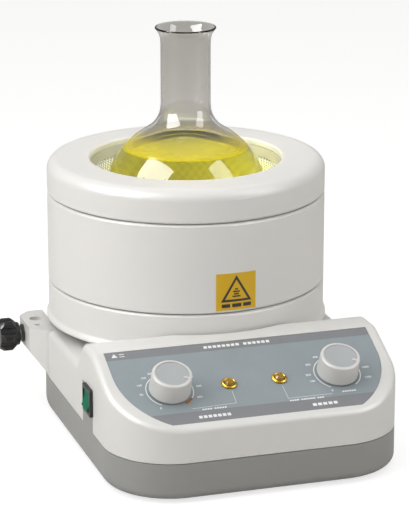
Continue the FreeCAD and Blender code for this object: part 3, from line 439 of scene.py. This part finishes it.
# --- panel print -------------------------------------------------------------
# Panel coordinates: x across, y up the slope from the overlay's upper edge, z out of it.
PANEL = Matrix.Translation((0.0, PANEL_Y, PANEL_Z)) @ Matrix.Rotation(PANEL_TILT, 4, "X")
PRINT_UP = -0.36 * MM           # just over the overlay's face
INK_T = 0.05 * MM
KNOB_X, KNOB_DOWN = 83.5 * MM, 60.0 * MM
LAMP_X, LAMP_EDGE_DOWN = 25.0 * MM, 70.0 * MM
LINE_W, LINE_END_X, LINE_DOWN = 0.35 * MM, 69.6 * MM, 87.6 * MM
FIGURE_H = 3.6 * MM


def slab(form, outline, low, high):
    """A thin printed shape: its outline in panel coordinates, made solid."""
    bottom = [form.verts.new((x, y, low)) for x, y in outline]
    top = [form.verts.new((x, y, high)) for x, y in outline]
    form.faces.new(top)
    form.faces.new(bottom[::-1])
    for i in range(len(outline)):
        j = (i + 1) % len(outline)
        form.faces.new((bottom[i], bottom[j], top[j], top[i]))


def band(centre, inner, outer, start, end):
    """Outline of a ring segment; start and end in degrees."""
    count = max(4, int(abs(end - start) / 4))
    out = arc_points(centre, outer, start, end, count)
    return out + arc_points(centre, inner, end, start, count)


def stroke(start, end, width):
    """Outline of a straight line between two points."""
    a, b = Vector(start), Vector(end)
    side = (b - a).orthogonal().normalized() * width / 2
    return [tuple(a + side), tuple(b + side), tuple(b - side), tuple(a - side)]


def bar(x, down, length, height):
    low, high = -down - height / 2, -down + height / 2
    return [(x, low), (x + length, low), (x + length, high), (x, high)]


def blocks(x, down, counts, size, height):
    """A row of plain blocks where a caption would be."""
    at = x
    out = []
    for count in counts:
        for _ in range(count):
            out.append(bar(at, down, size * 0.74, height))
            at += size
        at += size * 0.7
    return out


def figures(text, x, y, size):
    """A number on a dial, as a flat mesh in panel coordinates."""
    curve = bpy.data.curves.new("figure", "FONT")
    curve.body = text
    curve.size = size
    curve.align_x = "CENTER"
    curve.align_y = "CENTER"
    curve.extrude = INK_T / 2
    curve.offset = 0.06 * MM
    holder = bpy.data.objects.new("figure", curve)
    scene.collection.objects.link(holder)
    bpy.context.view_layer.update()
    mesh = bpy.data.meshes.new_from_object(holder)
    mesh.transform(Matrix.Translation((x, y, PRINT_UP + INK_T / 2)))
    bpy.data.objects.remove(holder)
    bpy.data.curves.remove(curve)
    return mesh


def printed(name, outlines, material, numbers=()):
    """Ink on the overlay: outlines made solid, and numbers."""
    form = bmesh.new()
    for outline in outlines:
        slab(form, outline, PRINT_UP, PRINT_UP + INK_T)
    for number in numbers:
        form.from_mesh(number)
        bpy.data.meshes.remove(number)
    bmesh.ops.recalc_face_normals(form, faces=form.faces)
    mesh = bpy.data.meshes.new(name)
    form.to_mesh(mesh)
    form.free()
    mesh.transform(PANEL)
    return add_mesh(name, mesh, "housing", material, smooth=False)


# Numbers on the dials and where they stand, in degrees from the panel's x.
TEMPERATURE_SCALE = {"0": -123, "50": -176, "100": 159, "150": 136, "200": 117, "250": 92,
                     "300": 62, "350": 32, "400": 3, "450": -27}
SPEED_SCALE = {"0": -118, "100": -163, "200": -181, "400": 150, "600": 121, "800": 80,
               "900": 34, "1000": 6, "1200": -21}
# Start, distance down the slope, blocks in each word, spacing and height, in mm.
CAPTIONS = ((-35.0, 7.2, (8, 6), 4.6, 3.4), (-66.0, 99.6, (7,), 4.6, 3.6), (46.0, 99.6, (5,), 5.2, 3.6),
            (-60.0, 90.0, (4, 5), 2.5, 1.7), (26.0, 91.0, (4, 6, 3), 2.4, 1.7), (80.0, 86.4, (6,), 2.4, 1.7))


def panel_print():
    """Scales, lines from the lamps and plain blocks for captions."""
    marks = []
    numbers = []
    for side, scale, end in ((-1, TEMPERATURE_SCALE, -36.0), (1, SPEED_SCALE, -56.0)):
        centre = (side * KNOB_X, -KNOB_DOWN)
        marks.append(band(centre, 22.1 * MM, 23.0 * MM, -124.0 + 360.0, end))
        for text, degrees in scale.items():
            a = math.radians(degrees)
            far = (26.4 + 0.9 * len(text) * abs(math.cos(a))) * MM
            numbers.append(figures(text, centre[0] + far * math.cos(a), centre[1] + far * math.sin(a),
                                   FIGURE_H))
    for side, turn in ((-1, (-25.5, 86.0)), (1, (25.5, 87.6))):
        lamp = (side * LAMP_X, -LAMP_EDGE_DOWN)
        corner = (turn[0] * MM, -turn[1] * MM)
        far = (side * LINE_END_X, -LINE_DOWN)
        marks += [stroke(lamp, corner, LINE_W), stroke(corner, far, LINE_W)]
    for x, down, counts, size, height in CAPTIONS:
        marks += blocks(x * MM, down * MM, counts, size * MM, height * MM)
    marks.append([(x * MM, -down * MM) for x, down in ((-126.5, 8.8), (-120.5, 8.8), (-123.5, 3.6))])
    marks += [bar(-118.6 * MM, down * MM, 5.0 * MM, 0.9 * MM) for down in (5.2, 8.2)]
    printed("panel_print", marks, INK_WHITE, numbers)
    hot = band((-KNOB_X, -KNOB_DOWN), 20.9 * MM, 23.4 * MM, -62.0, -37.0)
    printed("panel_limit_mark", [hot], INK_ORANGE)


# --- label on the drum -------------------------------------------------------
LABEL_R, LABEL_TURN = 140.42 * MM, math.radians(3.07)   # its face, and how far round the drum it sits
LABEL_LIFT = 0.02 * MM


def label_print():
    """A plain triangle and bars on the plate, curved round the drum."""
    form = bmesh.new()

    def wrap(corners, steps=10):
        """A four-cornered patch, bent round the drum in steps along its first edge."""
        a, b, c, d = (Vector(p) for p in corners)
        rows = []
        for depth in (LABEL_LIFT, LABEL_LIFT + INK_T):
            r = LABEL_R + depth
            sides = []
            for start, end in ((a, b), (d, c)):
                flat = [start.lerp(end, i / steps) for i in range(steps + 1)]
                sides.append([form.verts.new((r * math.sin(LABEL_TURN + p.x / LABEL_R),
                                              -r * math.cos(LABEL_TURN + p.x / LABEL_R), p.y)) for p in flat])
            rows.append(sides[0] + sides[1][::-1])
        inner, outer = rows
        count = len(inner)
        for i in range(steps):
            j = count - 1 - i
            form.faces.new((outer[i], outer[i + 1], outer[j - 1], outer[j]))
            form.faces.new((inner[j], inner[j - 1], inner[i + 1], inner[i]))
        for i in range(count):
            j = (i + 1) % count
            form.faces.new((inner[i], inner[j], outer[j], outer[i]))

    half, base, tip, line_w = 15.9 * MM, 149.6 * MM, 176.1 * MM, 2.3 * MM
    slope = math.hypot(half, tip - base)
    outside = [(-half, base), (half, base), (0.0, tip)]
    shrink = line_w * (slope + half) / (tip - base)
    inside = [(-half + shrink, base + line_w), (half - shrink, base + line_w),
              (0.0, tip - line_w * slope / half)]
    for i in range(3):
        j = (i + 1) % 3
        wrap([outside[i], outside[j], inside[j], inside[i]], steps=14)
    for level, reach in ((154.2, 4.2), (156.6, 2.6), (159.0, 3.6), (161.4, 1.6)):
        wrap([(x * MM, z * MM) for x, z in ((-reach, level), (reach, level),
                                            (reach, level + 1.5), (-reach, level + 1.5))])
    for start, length in ((-15.0, 8.6), (-4.4, 9.6), (7.0, 8.4)):
        wrap([(x * MM, z * MM) for x, z in ((start, 144.0), (start + length, 144.0),
                                            (start + length, 147.6), (start, 147.6))])
    bmesh.ops.recalc_face_normals(form, faces=form.faces)
    mesh = bpy.data.meshes.new("label_print")
    form.to_mesh(mesh)
    form.free()
    add_mesh("label_print", mesh, "housing", INK_BLACK, smooth=False)


# --- floor, lights, camera ---------------------------------------------------
FLOOR_SEEN, FLOOR_BOUNCE, FLOOR_GLOW = (0.40, 0.40, 0.40), (0.69, 0.675, 0.645), 0.72
SKY_SEEN, SKY_LIGHT, SKY_POWER = (1.0, 1.0, 1.0, 1.0), (0.97, 0.95, 0.92, 1.0), 0.42
SKY_THROUGH_GLASS = 0.35        # share of the white sky that is seen through glass


def floor():
    """A pale sheet; it looks white and throws back the warm grey of a studio."""
    mesh = bpy.data.meshes.new("floor")
    half = 12.0
    corners = [(-half, -half, 0), (half, -half, 0), (half, half, 0), (-half, half, 0)]
    mesh.from_pydata(corners, [], [(0, 1, 2, 3)])
    sheet = bpy.data.objects.new("floor", mesh)
    scene.collection.objects.link(sheet)
    paint = Graph("floor_paper", FLOOR_SEEN, 0.95)
    seen = paint.add("ShaderNodeLightPath").outputs["Is Camera Ray"]
    paint.drive("Base Color", paint.mix(seen, (*FLOOR_BOUNCE, 1.0), (*FLOOR_SEEN, 1.0)))
    paint.set("Emission Color", (1.0, 1.0, 1.0, 1.0))
    paint.drive("Emission Strength", paint.math("MULTIPLY", seen, FLOOR_GLOW))
    paint.relief(paint.noise(60.0), 0.0001)
    mesh.materials.append(paint.material)


def softbox(name, degrees, tilt, distance, size, power, glints=False):
    """A rectangular light standing at an angle from the front, aimed at the object.

    With glints it only shows as a reflection; without, it only lights what is matt.
    """
    middle = Vector((0.0, -0.04, 0.2))
    a, e = math.radians(degrees), math.radians(tilt)
    way = Vector((math.sin(a) * math.cos(e), -math.cos(a) * math.cos(e), math.sin(e)))
    lamp = bpy.data.lights.new(name, "AREA")
    lamp.shape = "RECTANGLE"
    lamp.size, lamp.size_y = size
    lamp.energy = power
    obj = bpy.data.objects.new(name, lamp)
    obj.location = middle + way * distance
    obj.rotation_euler = (-way).to_track_quat("-Z", "Y").to_euler()
    scene.collection.objects.link(obj)
    obj.visible_camera = False
    obj.visible_transmission = False
    obj.visible_diffuse = not glints
    obj.visible_glossy = glints
    lamp.cycles.use_multiple_importance_sampling = glints


LEFT_BOX = {"degrees": -78.0, "tilt": 33.0, "distance": 1.4, "size": (1.15, 1.25)}
RIGHT_BOX = {"degrees": 50.0, "tilt": 27.0, "distance": 1.6, "size": (0.75, 1.6)}


def studio():
    """A white room with two windows: bright to look at, dimmer as a light."""
    world = bpy.data.worlds.new("studio")
    world.use_nodes = True
    nodes, links = world.node_tree.nodes, world.node_tree.links
    sky = nodes["Background"]
    sky.inputs["Color"].default_value = SKY_LIGHT
    sky.inputs["Strength"].default_value = SKY_POWER
    seen = nodes.new("ShaderNodeBackground")
    seen.inputs["Color"].default_value = SKY_SEEN
    path = nodes.new("ShaderNodeLightPath")
    pick = nodes.new("ShaderNodeMixShader")
    clear = nodes.new("ShaderNodeMath")
    clear.operation = "MULTIPLY_ADD"
    links.new(path.outputs["Is Transmission Ray"], clear.inputs[0])
    clear.inputs[1].default_value = SKY_THROUGH_GLASS
    links.new(path.outputs["Is Camera Ray"], clear.inputs[2])
    links.new(clear.outputs[0], pick.inputs[0])
    links.new(sky.outputs[0], pick.inputs[1])
    links.new(seen.outputs[0], pick.inputs[2])
    links.new(pick.outputs[0], nodes["World Output"].inputs["Surface"])
    scene.world = world
    softbox("window_left", power=10.4, **LEFT_BOX)
    softbox("window_right", power=3.5, **RIGHT_BOX)
    softbox("ceiling", 0.0, 86.0, 1.9, (1.8, 1.8), 14.0)
    softbox("window_left_glint", power=72.0, glints=True, **LEFT_BOX)
    softbox("window_right_glint", power=30.0, glints=True, **RIGHT_BOX)
    scene.view_settings.view_transform = "Standard"


def light_paths():
    """Enough steps for light that crosses glass, liquid and glass again."""
    scene.cycles.max_bounces = 28
    scene.cycles.transmission_bounces = 28
    scene.cycles.transparent_max_bounces = 16
    scene.cycles.caustics_reflective = False


def camera():
    """Stands in front and to the left, a little above, with a long lens."""
    lens = bpy.data.cameras.new("camera")
    lens.lens = 171.3
    lens.sensor_width = 36.0
    lens.clip_end = 100.0
    eye = bpy.data.objects.new("camera", lens)
    eye.location = (-0.71146, -2.29212, 0.87203)
    eye.rotation_euler = Vector((0.291164, 0.912666, -0.286817)).to_track_quat("-Z", "Y").to_euler()
    scene.collection.objects.link(eye)
    scene.camera = eye


well()
flask()
liquid()
panel_print()
label_print()
floor()
studio()
light_paths()
camera()
